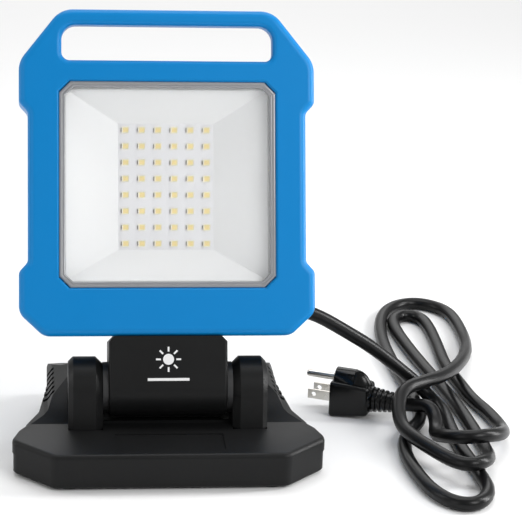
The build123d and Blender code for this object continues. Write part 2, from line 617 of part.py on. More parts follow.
# ---- plug ----
plug_at = Pos(PLUG_BACK[0], PLUG_BACK[1], PLUG_AXIS_Z) * Rot(0, 0, PLUG_TURN)
block_body = Pos(PLUG_BODY_L / 2, 0, 0) * Box(PLUG_BODY_L, PLUG_BODY_W, 2 * PLUG_AXIS_Z - 0.2)
block_body = fillet(block_body.edges().filter_by(Axis.X), 4)
DOME_R = 7.0
dome = Pos(PLUG_BODY_L / 2, 0, GROUND_RISE) * Rot(0, 90, 0) * Cylinder(DOME_R, PLUG_BODY_L)
dome += Pos(PLUG_BODY_L / 2, 0, GROUND_RISE / 2) * Box(PLUG_BODY_L, 2 * DOME_R, GROUND_RISE)
save("plug_body", plug_at * (block_body + dome))
blades = []
for side in (-1, 1):
    blade = Pos(PLUG_BODY_L + BLADE_L / 2, side * BLADE_HALF_PITCH, 0) * Box(BLADE_L, BLADE_T, BLADE_W)
    hole = Pos(PLUG_BODY_L + BLADE_L - 4, side * BLADE_HALF_PITCH, 0) * Rot(90, 0, 0) * Cylinder(1.6, 4)
    blades.append(plug_at * (blade - hole))
save("plug_blades", blades)
ground = Pos(PLUG_BODY_L + GROUND_L / 2, 0, GROUND_RISE) * Rot(0, 90, 0) * Cylinder(GROUND_R, GROUND_L)
ground = fillet(ground.faces().sort_by(Axis.X)[-1].edges(), 1.8)
save("plug_ground_pin", plug_at * ground)
boot = Pos(-PLUG_RELIEF_L / 2, 0, 0) * Rot(0, 90, 0) * Cone(CORD_D / 2 + 1.0, 8.5, PLUG_RELIEF_L)
save("plug_relief", plug_at * boot)

# ---- cord: the hanging lead, then the loops on the floor, to the plug ----
exit_x = RELIEF_START + RELIEF_L
tilt = math.radians(REST_TILT)
exit_y = AXIS_Y + GLAND_V * math.sin(tilt) + GLAND_DEPTH * math.cos(tilt)
exit_z = AXIS_Z + GLAND_V * math.cos(tilt) - GLAND_DEPTH * math.sin(tilt)
turn = math.radians(PLUG_TURN)
PLUG_END = (
    PLUG_BACK[0] - PLUG_RELIEF_L * math.cos(turn),
    PLUG_BACK[1] - PLUG_RELIEF_L * math.sin(turn),
    PLUG_AXIS_Z,
)
ROUTE = [
    (exit_x, exit_y, exit_z),
    (exit_x + 12, exit_y, exit_z),
    (102, 29.5, 73),
    (120, 36, 60.5),
    (140, 43.5, 46),
    (158, 50, 30),
    (172, 55, 17),
    (184, 49, FLOOR + 1),
    (188, 30, FLOOR),
    (187, 2, FLOOR),
    (188, -32, FLOOR),
    (192, -68, FLOOR),
    (193.5, -96, FLOOR),
    (184, -114, FLOOR),
    (170, -114.5, FLOOR),
    (158.5, -97, FLOOR),
    (153, -70, FLOOR),
    (150, -36, FLOOR),
    (156, -6, FLOOR),
    (172.5, 22, FLOOR),
    (171, 66, FLOOR),
    (168, 116, FLOOR),
    (167, 170, FLOOR),
    (173, 215, FLOOR),
    (186, 242, FLOOR),
    (207, 251, FLOOR),
    (226, 234, FLOOR),
    (229.5, 205, FLOOR),
    (228, 164, FLOOR),
    (220, 124, FLOOR + 6),
    (207, 88, LAYER_1 + 1),
    (190, 56, LAYER_2 - 4),
    (173, 37, LAYER_2),
    (158, 24, LAYER_2),
    (152, 6, LAYER_2 - 4),
    (151, -14, LAYER_1),
    (156, -34, LAYER_1),
    (166, -56, LAYER_1),
    (174, -71, LAYER_1),
    (184, -79, LAYER_1),
    (195, -72, LAYER_1),
    (202, -51, FLOOR + 3),
    (203, -20, FLOOR),
    (201, 20, FLOOR),
    (197, 60, FLOOR),
    (190, 106, FLOOR),
    (184, 152, FLOOR),
    (180.5, 194, FLOOR),
    (182.5, 213, FLOOR),
    (191, 222, FLOOR),
    (202, 219, FLOOR),
    (206.5, 204, FLOOR),
    (206, 160, FLOOR),
    (204, 118, FLOOR),
    (208, 84, FLOOR),
    (211, 54, FLOOR),
    (218, 28, FLOOR),
    (221, -2, FLOOR + 1),
    (215, -27, LAYER_1 - 1),
    (203, -43, LAYER_2 - 5),
    (187, -46, LAYER_2 - 5),
    (176, -32, LAYER_1),
    (174, -12, FLOOR + 2),
    (178, 5, FLOOR + 5),
    (175, 16, LAYER_1 + 1.5),
    (PLUG_END[0] - 9 * math.cos(turn), PLUG_END[1] - 9 * math.sin(turn), PLUG_AXIS_Z),
    PLUG_END,
]


def corner_radii(points):
    """Each corner's arc takes 0.45 of its shorter run."""
    found = []
    for a, b, c in zip(points, points[1:], points[2:]):
        first = Vector(*b) - Vector(*a)
        second = Vector(*c) - Vector(*b)
        half_turn = math.radians(first.get_angle(second)) / 2
        found.append(0.45 * min(first.length, second.length) / math.tan(half_turn))
    return found


def tube(points, radii):
    path = FilletPolyline(*points, radius=radii)
    mouth = Plane(origin=path @ 0, z_dir=path % 0) * Circle(CORD_D / 2)
    solid = sweep(mouth, path=path)
    section = math.pi * CORD_D ** 2 / 4
    ratio = solid.volume / (section * path.length)
    print("cord length", round(path.length, 1), "volume ratio", round(ratio, 4))
    return solid


radii = corner_radii(ROUTE)
print("radii", [round(r, 1) for r in radii])
a, b = ROUTE[LEAD_POINTS - 1], ROUTE[LEAD_POINTS]
joint = tuple((p + q) / 2 for p, q in zip(a, b))
save("cord_lead", tube(ROUTE[:LEAD_POINTS] + [joint], radii[: LEAD_POINTS - 1]))
save("cord_loops", tube([joint] + ROUTE[LEAD_POINTS:], radii[LEAD_POINTS - 1 :]))
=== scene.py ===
import json
import math

import bpy
from mathutils import Matrix, Vector


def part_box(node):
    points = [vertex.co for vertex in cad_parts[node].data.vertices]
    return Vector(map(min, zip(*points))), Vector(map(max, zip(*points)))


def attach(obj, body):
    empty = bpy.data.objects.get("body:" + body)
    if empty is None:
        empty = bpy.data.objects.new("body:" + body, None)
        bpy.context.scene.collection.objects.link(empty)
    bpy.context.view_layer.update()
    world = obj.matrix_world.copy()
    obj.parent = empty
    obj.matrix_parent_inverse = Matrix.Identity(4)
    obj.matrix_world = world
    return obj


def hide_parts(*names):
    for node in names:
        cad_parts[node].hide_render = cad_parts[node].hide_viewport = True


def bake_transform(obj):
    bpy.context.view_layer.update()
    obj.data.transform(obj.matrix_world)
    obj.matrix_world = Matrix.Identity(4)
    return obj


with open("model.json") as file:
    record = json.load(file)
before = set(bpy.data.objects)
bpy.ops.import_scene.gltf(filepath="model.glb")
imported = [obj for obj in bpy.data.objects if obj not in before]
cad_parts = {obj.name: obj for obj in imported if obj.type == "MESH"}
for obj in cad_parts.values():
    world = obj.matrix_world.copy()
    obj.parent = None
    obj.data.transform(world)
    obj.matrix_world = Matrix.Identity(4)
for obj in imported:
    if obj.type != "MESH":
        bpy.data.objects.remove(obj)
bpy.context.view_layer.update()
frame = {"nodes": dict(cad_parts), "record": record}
nodes = frame["nodes"]
MM = 0.001

# ---------------------------------------------------------------- camera
# A long lens a good metre away, a little to the left and looking down on the light.
CAMERA_PLACE = (-0.088, -1.304, 0.553)
CAMERA_LENS = 151.7
CAMERA_YAW = math.radians(6.42)
CAMERA_DOWN = math.radians(18.23)
CAMERA_ROLL = math.radians(1.98)

bpy.ops.object.select_all(action="DESELECT")
bpy.ops.object.camera_add()
camera = bpy.context.object
camera.data.lens = CAMERA_LENS
camera.data.sensor_width = 36
camera.data.clip_end = 50
turn = Matrix.Rotation(-CAMERA_YAW, 4, "Z")
turn @= Matrix.Rotation(math.radians(90) - CAMERA_DOWN, 4, "X")
turn @= Matrix.Rotation(CAMERA_ROLL, 4, "Z")
camera.matrix_world = Matrix.Translation(CAMERA_PLACE) @ turn
bpy.context.scene.camera = camera
bpy.context.scene.view_settings.view_transform = "Standard"

# ---------------------------------------------------------------- cord
# A 9 mm three-core lead with a black rubber jacket. It leaves the strain relief on the driver
# box, hangs to the floor, and lies there in the loose flat loops of a lead just unwrapped.
#
# The jacket shares a surface effect with the other pieces: a fine grain, a slow change of gloss
# from handling and a little paler dust. One node group makes it, with each material's own values.


def new_group(name, inputs, outputs):
    group = bpy.data.node_groups.new(name, "ShaderNodeTree")
    for label, kind, value in inputs:
        socket = group.interface.new_socket(label, in_out="INPUT", socket_type=kind)
        socket.default_value = value
    for label, kind in outputs:
        group.interface.new_socket(label, in_out="OUTPUT", socket_type=kind)
    return group, group.nodes.new("NodeGroupInput"), group.nodes.new("NodeGroupOutput")


def math_node(tree, operation, a, b=None):
    node = tree.nodes.new("ShaderNodeMath")
    node.operation = operation
    for socket, value in zip(node.inputs, (a, b)):
        if value is None:
            continue
        if isinstance(value, (int, float)):
            socket.default_value = value
        else:
            tree.links.new(value, socket)
    return node.outputs[0]


def noise(tree, scale, detail=3.0, roughness=0.55, vector=None):
    node = tree.nodes.new("ShaderNodeTexNoise")
    node.inputs["Detail"].default_value = detail
    node.inputs["Roughness"].default_value = roughness
    if isinstance(scale, (int, float)):
        node.inputs["Scale"].default_value = scale
    else:
        tree.links.new(scale, node.inputs["Scale"])
    if vector is None:
        vector = tree.nodes.new("ShaderNodeTexCoord").outputs["Object"]
    tree.links.new(vector, node.inputs["Vector"])
    return node.outputs["Fac"]


def mix_colour(tree, factor, a, b):
    node = tree.nodes.new("ShaderNodeMix")
    node.data_type = "RGBA"
    for socket, value in ((node.inputs["Factor"], factor), (node.inputs[6], a), (node.inputs[7], b)):
        if hasattr(value, "is_output"):
            tree.links.new(value, socket)
        else:
            socket.default_value = value
    return node.outputs[2]


surface_group, given, made = new_group(
    "moulded_surface",
    [
        ("Colour", "NodeSocketColor", (0.5, 0.5, 0.5, 1)),
        ("Dust Colour", "NodeSocketColor", (0.5, 0.5, 0.5, 1)),
        ("Dust", "NodeSocketFloat", 0.1),
        ("Grain Scale", "NodeSocketFloat", 900.0),
        ("Grain Depth", "NodeSocketFloat", 0.2),
        ("Roughness", "NodeSocketFloat", 0.45),
        ("Gloss Change", "NodeSocketFloat", 0.1),
    ],
    [("Colour", "NodeSocketColor"), ("Roughness", "NodeSocketFloat"), ("Normal", "NodeSocketVector")],
)
slow = noise(surface_group, 22.0, 4.0)
fine = noise(surface_group, given.outputs["Grain Scale"], 2.0, 0.7)
specks = noise(surface_group, 260.0, 5.0, 0.75)
settled = math_node(surface_group, "MULTIPLY", slow, specks)
settled = math_node(surface_group, "MULTIPLY", settled, given.outputs["Dust"])
surface_group.links.new(
    mix_colour(surface_group, settled, given.outputs["Colour"], given.outputs["Dust Colour"]),
    made.inputs["Colour"],
)
swing = math_node(surface_group, "SUBTRACT", slow, 0.5)
swing = math_node(surface_group, "MULTIPLY", swing, given.outputs["Gloss Change"])
surface_group.links.new(
    math_node(surface_group, "ADD", given.outputs["Roughness"], swing), made.inputs["Roughness"]
)
bump = surface_group.nodes.new("ShaderNodeBump")
bump.inputs["Distance"].default_value = 0.0001
surface_group.links.new(fine, bump.inputs["Height"])
surface_group.links.new(given.outputs["Grain Depth"], bump.inputs["Strength"])
surface_group.links.new(bump.outputs["Normal"], made.inputs["Normal"])


DUST_GREY = 0.45
DUST_COVER = 0.4


def finish(name, colour, roughness, grain=0.15, scale=900.0, dust=0.1, gloss_change=0.12, **plain):
    """A material with the shared surface effect; plain values go on the shader's own sockets."""
    material = bpy.data.materials.new(name)
    material.use_nodes = True
    tree = material.node_tree
    shader = tree.nodes["Principled BSDF"]
    effect = tree.nodes.new("ShaderNodeGroup")
    effect.node_tree = surface_group
    effect.inputs["Colour"].default_value = (*colour, 1)
    dusty = [c + (DUST_GREY - c) * DUST_COVER for c in colour]
    effect.inputs["Dust Colour"].default_value = (*dusty, 1)
    effect.inputs["Dust"].default_value = dust
    effect.inputs["Grain Scale"].default_value = scale
    effect.inputs["Grain Depth"].default_value = grain
    effect.inputs["Roughness"].default_value = roughness
    effect.inputs["Gloss Change"].default_value = gloss_change
    tree.links.new(effect.outputs["Colour"], shader.inputs["Base Color"])
    tree.links.new(effect.outputs["Roughness"], shader.inputs["Roughness"])
    tree.links.new(effect.outputs["Normal"], shader.inputs["Normal"])
    for label, value in plain.items():
        shader.inputs[label.replace("_", " ")].default_value = value
    return material


CORD_D = 9 * MM
FLOOR = CORD_D / MM / 2 + 0.1
STEP = CORD_D / MM + 0.7
LAYER_1 = FLOOR + STEP
LAYER_2 = FLOOR + 2 * STEP
relief_low, relief_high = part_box("cord_relief")
relief_middle = (relief_low + relief_high) / 2
exit_point = Vector((relief_high.x, relief_middle.y, relief_middle.z))
exit_x, exit_y, exit_z = exit_point / MM
PLUG_TURN = math.radians(155)
PLUG_AXIS_Z = 12.5
PLUG_BACK = Vector((139.5, 36, PLUG_AXIS_Z)) * MM
PLUG_RELIEF_L = 20 * MM
plug_way = Vector((math.cos(PLUG_TURN), math.sin(PLUG_TURN), 0))
PLUG_END = (PLUG_BACK - plug_way * PLUG_RELIEF_L) / MM
ROUTE = [
    (exit_x, exit_y, exit_z),
    (exit_x + 12, exit_y, exit_z),
    (102, 29.5, 73),
    (120, 36, 60.5),
    (140, 43.5, 46),
    (158, 50, 30),
    (172, 55, 17),
    (184, 49, FLOOR + 1),
    (188, 30, FLOOR),
    (187, 2, FLOOR),
    (188, -32, FLOOR),
    (192, -68, FLOOR),
    (193.5, -96, FLOOR),
    (184, -114, FLOOR),
    (170, -114.5, FLOOR),
    (158.5, -97, FLOOR),
    (153, -70, FLOOR),
    (150, -36, FLOOR),
    (156, -6, FLOOR),
    (172.5, 22, FLOOR),
    (171, 66, FLOOR),
    (168, 116, FLOOR),
    (167, 170, FLOOR),
    (173, 215, FLOOR),
    (186, 242, FLOOR),
    (207, 251, FLOOR),
    (226, 234, FLOOR),
    (229.5, 205, FLOOR),
    (228, 164, FLOOR),
    (220, 124, FLOOR + 6),
    (207, 88, LAYER_1 + 1),
    (190, 56, LAYER_2 - 4),
    (173, 37, LAYER_2),
    (158, 24, LAYER_2),
    (152, 6, LAYER_2 - 4),
    (151, -14, LAYER_1),
    (156, -34, LAYER_1),
    (166, -56, LAYER_1),
    (174, -71, LAYER_1),
    (184, -79, LAYER_1),
    (195, -72, LAYER_1),
    (202, -51, FLOOR + 3),
    (203, -20, FLOOR),
    (201, 20, FLOOR),
    (197, 60, FLOOR),
    (190, 106, FLOOR),
    (184, 152, FLOOR),
    (180.5, 194, FLOOR),
    (182.5, 213, FLOOR),
    (191, 222, FLOOR),
    (202, 219, FLOOR),
    (206.5, 204, FLOOR),
    (206, 160, FLOOR),
    (204, 118, FLOOR),
    (208, 84, FLOOR),
    (211, 54, FLOOR),
    (218, 28, FLOOR),
    (221, -2, FLOOR + 1),
    (215, -27, LAYER_1 - 1),
    (203, -43, LAYER_2 - 5),
    (187, -46, LAYER_2 - 5),
    (176, -32, LAYER_1),
    (174, -12, FLOOR + 2),
    (178, 5, FLOOR + 5),
    (175, 16, LAYER_1 + 1.5),
    (PLUG_END.x - 9 * plug_way.x, PLUG_END.y - 9 * plug_way.y, PLUG_AXIS_Z),
    tuple(PLUG_END),
]


def rubber_jacket():
    """Smooth rubber with a soft sheen, scuffed a little paler along its length."""
    return finish(
        "cord_rubber", (0.0028, 0.0029, 0.0032), 0.34, grain=0.25, scale=1400, dust=0.03,
        gloss_change=0.18, Specular_IOR_Level=0.22,
    )


line = bpy.data.curves.new("cord_line", "CURVE")
line.dimensions = "3D"
line.resolution_u = 14
spline = line.splines.new("NURBS")
spline.points.add(len(ROUTE) - 1)
for point, place in zip(spline.points, ROUTE):
    point.co = (*[c * MM for c in place], 1)
spline.order_u = 3
spline.use_endpoint_u = True
cord = bpy.data.objects.new("mains_cord", line)
bpy.context.collection.objects.link(cord)
bpy.context.view_layer.update()
centre_line = [v.co.copy() for v in bpy.data.meshes.new_from_object(cord).vertices]
line.bevel_depth = CORD_D / 2
line.bevel_resolution = 6
line.use_fill_caps = True
bpy.ops.object.select_all(action="DESELECT")
cord.select_set(True)
bpy.context.view_layer.objects.active = cord
bpy.ops.object.convert(target="MESH")
cord = bpy.context.object
cord.name = "mains_cord"
bpy.ops.object.shade_smooth()
cord.data.materials.clear()
jacket = rubber_jacket()
cord.data.materials.append(jacket)
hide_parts("cord_lead", "cord_loops")
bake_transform(cord)

# ---------------------------------------------------------------- plug
# A grounded mains plug moulded in glossy black: a block that holds the two blades, a half-round
# dome over the ground pin, and a ribbed tail that keeps the cord from kinking.
PLUG_L = 26 * MM
PLUG_W = 25 * MM
GROUND_RISE = 11.9 * MM
DOME_R = 7 * MM
DOME_FRONT = PLUG_L - 1.6 * MM
DOME_BACK = 11 * MM
REAR_TAPER = (1, 0.72, 0.78)
REAR_ROUND = 11.5 * MM
REAR_RISE = 4 * MM
BODY_ROUND = 2.2 * MM
SEAM_ROUND = 0.7 * MM


def in_plug(piece):
    """From the plug's own frame, +X towards the blades, to where it lies."""
    piece.data.transform(Matrix.Translation(PLUG_BACK) @ Matrix.Rotation(PLUG_TURN, 4, "Z"))


def only(piece):
    bpy.ops.object.select_all(action="DESELECT")
    piece.select_set(True)
    bpy.context.view_layer.objects.active = piece


def settle(piece):
    """The piece's place goes into its mesh."""
    only(piece)
    bpy.ops.object.transform_apply(location=True, rotation=True, scale=True)


def use_modifier(piece, kind, **values):
    only(piece)
    modifier = piece.modifiers.new(kind.lower(), kind)
    for label, value in values.items():
        setattr(modifier, label, value)
    bpy.ops.object.modifier_apply(modifier=modifier.name)


def block(name, size, centre):
    bpy.ops.object.select_all(action="DESELECT")
    bpy.ops.mesh.primitive_cube_add(size=1, location=centre)
    piece = bpy.context.object
    piece.name = name
    piece.scale = size
    settle(piece)
    return piece


def rod(name, radius, length, centre, turned=(0, math.radians(90), 0), sides=48):
    bpy.ops.object.select_all(action="DESELECT")
    bpy.ops.mesh.primitive_cylinder_add(
        vertices=sides, radius=radius, depth=length, location=centre, rotation=turned
    )
    piece = bpy.context.object
    piece.name = name
    settle(piece)
    return piece


def weld(piece, *others, operation="UNION"):
    for other in others:
        use_modifier(piece, "BOOLEAN", object=other, operation=operation, solver="EXACT")
        bpy.data.objects.remove(other, do_unlink=True)


def lathe(name, profile, steps=48):
    """A profile of (along, radius) spun about the local X axis."""
    mesh = bpy.data.meshes.new(name)
    mesh.from_pydata([(a, 0, r) for a, r in profile], [(i, i + 1) for i in range(len(profile) - 1)], [])
    piece = bpy.data.objects.new(name, mesh)
    bpy.context.collection.objects.link(piece)
    only(piece)
    bpy.ops.object.mode_set(mode="EDIT")
    bpy.ops.mesh.select_all(action="SELECT")
    bpy.ops.mesh.spin(
        steps=steps, angle=math.radians(360), center=(0, 0, 0), axis=(1, 0, 0), use_auto_merge=False
    )
    bpy.ops.mesh.select_all(action="SELECT")
    bpy.ops.mesh.remove_doubles(threshold=0.000005)
    bpy.ops.mesh.normals_make_consistent(inside=False)
    bpy.ops.object.mode_set(mode="OBJECT")
    bpy.ops.object.shade_smooth_by_angle(angle=math.radians(40))
    return piece


half_height = (PLUG_AXIS_Z - 0.1) * MM
plug = block("plug_moulding", (PLUG_L, PLUG_W, 2 * half_height), (PLUG_L / 2, 0, 0))
only(plug)
bpy.ops.object.mode_set(mode="EDIT")
bpy.ops.mesh.select_all(action="DESELECT")
bpy.ops.object.mode_set(mode="OBJECT")
for face in plug.data.polygons:
    face.select = face.normal.x < -0.9
bpy.ops.object.mode_set(mode="EDIT")
bpy.ops.mesh.select_mode(type="FACE")
bpy.ops.transform.resize(value=REAR_TAPER)
bpy.ops.object.mode_set(mode="OBJECT")
use_modifier(plug, "BEVEL", width=BODY_ROUND, segments=4, limit_method="ANGLE")
dome_mid = (DOME_FRONT + DOME_BACK) / 2
dome = rod("plug_dome", DOME_R, DOME_FRONT - DOME_BACK, (dome_mid, 0, GROUND_RISE))
neck_size = (DOME_FRONT - DOME_BACK, 2 * DOME_R, GROUND_RISE)
neck = block("plug_neck", neck_size, (dome_mid, 0, GROUND_RISE / 2))
bpy.ops.object.select_all(action="DESELECT")
bpy.ops.mesh.primitive_uv_sphere_add(
    segments=48, ring_count=32, radius=1, location=(DOME_BACK, 0, REAR_RISE)
)
rear = bpy.context.object
rear.scale = (REAR_ROUND, DOME_R, GROUND_RISE + DOME_R - REAR_RISE)
settle(rear)
collar = rod("plug_collar", 8.6 * MM, 5 * MM, (1.2 * MM, 0, 0))
weld(plug, dome, neck, rear, collar)
use_modifier(
    plug, "BEVEL", width=SEAM_ROUND, segments=3, limit_method="ANGLE", angle_limit=math.radians(50)
)
bpy.ops.object.shade_smooth_by_angle(angle=math.radians(32))
in_plug(plug)
gloss = finish(
    "gloss_black", (0.002, 0.0023, 0.0025), 0.24, grain=0.04, scale=700, dust=0.02,
    gloss_change=0.12, Specular_IOR_Level=0.26,
)
plug.data.materials.append(gloss)
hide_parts("plug_body")
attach(plug, "base")

# Its tail: four rings that grow smaller towards the cord, with bare rubber between them.
RIBS = 4
RIB_PITCH = 3.4 * MM
TAIL_R = 8.3 * MM
profile = [(0.4 * MM, 0), (0.4 * MM, TAIL_R), (-1.2 * MM, TAIL_R)]
for i in range(RIBS):
    start = -1.6 * MM - i * RIB_PITCH
    crest = (8.2 - 0.45 * i) * MM
    valley = (6.6 - 0.25 * i) * MM
    profile += [(start, valley), (start - 0.9 * MM, valley), (start - 1.2 * MM, crest)]
    profile += [(start - 2.6 * MM, crest - 0.1 * MM), (start - 2.9 * MM, valley)]
profile += [(-16 * MM, 5.9 * MM), (0.6 * MM - PLUG_RELIEF_L, 5.2 * MM)]
profile += [(-PLUG_RELIEF_L, 4.6 * MM), (-PLUG_RELIEF_L, 0)]
plug_tail = lathe("plug_tail", profile)
in_plug(plug_tail)
plug_tail.data.materials.append(gloss)
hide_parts("plug_relief")
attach(plug_tail, "base")

def coat_cad(material, *names):
    """A carried-over CAD piece keeps its shape and gets this finish."""
    for name in names:
        piece = nodes[name]
        if not piece.material_slots:
            piece.data.materials.append(material)
        for slot in piece.material_slots:
            slot.material = material


plated = finish(
    "plated_brass", (0.62, 0.60, 0.56), 0.28, grain=0.10, scale=1600, dust=0.05,
    gloss_change=0.2, Metallic=1.0,
)
coat_cad(plated, "plug_blades", "plug_ground_pin")

# ---------------------------------------------------------------- head frame
# One thick moulding in bright blue plastic, with a carry slot along its top and four corner
# bumpers. Satin, with the slow gloss change of a large flat moulding.
LEAN = math.radians(20.5)
tilt_joint = [j for j in frame["record"]["behaviour"]["joints"] if j["name"] == "head_tilt"][0]
TILT_AXIS = Vector(tilt_joint["pos_m"])
to_head = Matrix.Translation(TILT_AXIS) @ Matrix.Rotation(-LEAN, 4, "X")


def on_head(piece):
    """From the head's own frame (x, depth, height from the tilt axis) to its place at rest."""
    piece.data.transform(to_head)


blue = finish(
    "blue_shell", (0.0006, 0.200, 0.520), 0.36, grain=0.10, scale=1100, dust=0.02,
    gloss_change=0.10, Specular_IOR_Level=0.20,
)
coat_cad(blue, "head_frame")

# ---------------------------------------------------------------- lens bezel
# A grey satin ring with cut corners. Its section is stepped: an outer slope, a bright bead
# and an inner slope down to the glass.
FACE_W = -18 * MM
BEZEL_LOW = 62 * MM
BEZEL_HIGH = 190.8 * MM
BEZEL_HALF = 67.6 * MM
BEZEL_CORNER = 6.5 * MM


def cut_outline(inset, depth):
    """The eight corners of the lens outline, drawn in by inset, at a depth."""
    corner = BEZEL_CORNER + 0.6 * MM - inset * (2 - math.sqrt(2))
    x = BEZEL_HALF - inset
    low = BEZEL_LOW + 0.1 * MM + inset
    high = BEZEL_HIGH - 0.1 * MM - inset
    flat = [(x - corner, low), (x, low + corner), (x, high - corner), (x - corner, high)]
    flat += [(-a, b) for a, b in reversed(flat)]
    return [(a, depth, b) for a, b in flat]


def ring(name, section):
    """The outline swept round with a closed section of (inset, depth)."""
    points, faces = [], []
    for inset, depth in section:
        points += cut_outline(inset, depth)
    rows, count = len(section), 8
    for i in range(rows):
        for j in range(count):
            a, b = i * count, ((i + 1) % rows) * count
            k = (j + 1) % count
            faces.append((a + j, a + k, b + k, b + j))
    mesh = bpy.data.meshes.new(name)
    mesh.from_pydata(points, [], faces)
    piece = bpy.data.objects.new(name, mesh)
    bpy.context.collection.objects.link(piece)
    only(piece)
    bpy.ops.object.mode_set(mode="EDIT")
    bpy.ops.mesh.select_all(action="SELECT")
    bpy.ops.mesh.normals_make_consistent(inside=False)
    bpy.ops.object.mode_set(mode="OBJECT")
    return piece


bezel = ring(
    "bezel_ring",
    [
        (0.0, FACE_W + 3.5 * MM), (0.0, FACE_W + 1.2 * MM), (0.5 * MM, FACE_W + 0.5 * MM),
        (1.5 * MM, FACE_W + 0.45 * MM), (1.9 * MM, FACE_W + 0.9 * MM), (2.5 * MM, FACE_W + 0.9 * MM),
        (2.9 * MM, FACE_W + 0.45 * MM), (3.3 * MM, FACE_W + 0.6 * MM), (3.8 * MM, FACE_W + 1.6 * MM),
        (3.8 * MM, FACE_W + 3.5 * MM),
    ],
)
use_modifier(bezel, "BEVEL", width=0.12 * MM, segments=2, limit_method="ANGLE")
bpy.ops.object.shade_smooth_by_angle(angle=math.radians(30))
on_head(bezel)
bezel.data.materials.append(
    finish("grey_bezel", (0.31, 0.315, 0.33), 0.30, grain=0.06, dust=0.05, Metallic=0.4)
)
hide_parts("lens_bezel")
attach(bezel, "head")

# ---------------------------------------------------------------- lens glass
# A flat sheet of clear tempered glass under the bezel, with a ground edge.
glass = bpy.data.materials.new("clear_glass")
glass.use_nodes = True
glass_shader = glass.node_tree.nodes["Principled BSDF"]
glass_shader.inputs["Base Color"].default_value = (0.97, 0.985, 0.98, 1)
glass_shader.inputs["Roughness"].default_value = 0.02
glass_shader.inputs["IOR"].default_value = 1.48
glass_shader.inputs["Transmission Weight"].default_value = 1.0
glass_shader.inputs["Alpha"].default_value = 0.22
smear = noise(glass.node_tree, 30.0, 5.0)
smear_level = math_node(glass.node_tree, "MULTIPLY", smear, 0.05)
glass.node_tree.links.new(smear_level, glass_shader.inputs["Roughness"])
coat_cad(glass, "lens_glass")
seal_rubber = finish("seal_rubber", (0.012, 0.012, 0.013), 0.7, grain=0.4)
coat_cad(seal_rubber, "lens_seal", "cover_seal", "rubber_feet")

# ---------------------------------------------------------------- reflector and LED board
# The reflector is moulded in bright white plastic as a four-sided funnel. The board in its
# throat lies on the heat sink and has a white solder mask.
coat_cad(
    finish("white_reflector", (0.88, 0.885, 0.89), 0.32, grain=0.03, dust=0.02, Specular_IOR_Level=0.4),
    "reflector",
)
coat_cad(finish("white_board", (0.86, 0.86, 0.88), 0.45, grain=0.06, dust=0.04), "led_board")

# ---------------------------------------------------------------- LED chips
# Forty-eight surface-mounted chips in six columns of eight: a white package with a yellow
# phosphor window sunk in its face, and a contact pad at its left end. The pad's dark colour
# is painted shade: it stands for the shadow beside each chip's left side.
LED_PITCH = 10.28 * MM
LED_COLS = 6
LED_ROWS = 8
LED_SIZE = (4.4 * MM, 1.0 * MM, 4.1 * MM)
PACKAGE_WALL = 0.5 * MM
WINDOW_SINK = 0.2 * MM
# The contact pad sits beside the chip's left side; its dark colour is painted shade there.
CONTACT_SHADE_SIZE = (0.5 * MM, 0.5 * MM, 2.6 * MM)
board_front = 4.0 * MM
lens_centre = (BEZEL_LOW + BEZEL_HIGH) / 2


def one_chip():
    chip = block("chip", LED_SIZE, (0, board_front - LED_SIZE[1] / 2, 0))
    only(chip)
    bpy.ops.object.mode_set(mode="EDIT")
    bpy.ops.mesh.select_all(action="DESELECT")
    bpy.ops.object.mode_set(mode="OBJECT")
    for face in chip.data.polygons:
        face.select = face.normal.y < -0.9
    bpy.ops.object.mode_set(mode="EDIT")
    bpy.ops.mesh.select_mode(type="FACE")
    bpy.ops.mesh.inset(thickness=PACKAGE_WALL)
    bpy.ops.transform.translate(value=(PACKAGE_WALL / 2, WINDOW_SINK, 0))
    bpy.ops.object.mode_set(mode="OBJECT")
    for name in ("package", "phosphor", "contact_painted_shade"):
        chip.data.materials.append(chip_materials[name])
    for face in chip.data.polygons:
        face.material_index = 1 if face.select else 0
    # A dark pad at the chip's left end, coloured as painted shade of the chip's side.
    pad = block("pad", CONTACT_SHADE_SIZE, (-2.55 * MM, board_front - 0.3 * MM, 0))
    for name in ("package", "phosphor", "contact_painted_shade"):
        pad.data.materials.append(chip_materials[name])
    for face in pad.data.polygons:
        face.material_index = 2
    only(chip)
    pad.select_set(True)
    bpy.ops.object.join()
    return chip


chip_materials = {
    "package": finish("chip_package", (0.88, 0.85, 0.74), 0.4, grain=0.02, dust=0.02),
    "phosphor": finish("led_yellow", (0.93, 0.78, 0.38), 0.45, grain=0.05, dust=0.02),
    # The contact's dark colour is painted shade beside each chip's left side.
    "contact_painted_shade": finish("chip_contact_painted_shade", (0.22, 0.20, 0.17), 0.4, grain=0.02, dust=0.02, Metallic=0.6),
}
master_chip = one_chip()
chips = []
for col in range(LED_COLS):
    for row in range(LED_ROWS):
        copy = bpy.data.objects.new("led", master_chip.data.copy())
        bpy.context.collection.objects.link(copy)
        x = (col - (LED_COLS - 1) / 2) * LED_PITCH
        v = lens_centre + (row - (LED_ROWS - 1) / 2) * LED_PITCH
        copy.data.transform(Matrix.Translation((x, 0, v)))
        chips.append(copy)
bpy.data.objects.remove(master_chip, do_unlink=True)
only(chips[0])
for chip in chips:
    chip.select_set(True)
bpy.ops.object.join()
led_array = bpy.context.object
led_array.name = "led_array"
on_head(led_array)
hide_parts("led_chips")
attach(led_array, "head")

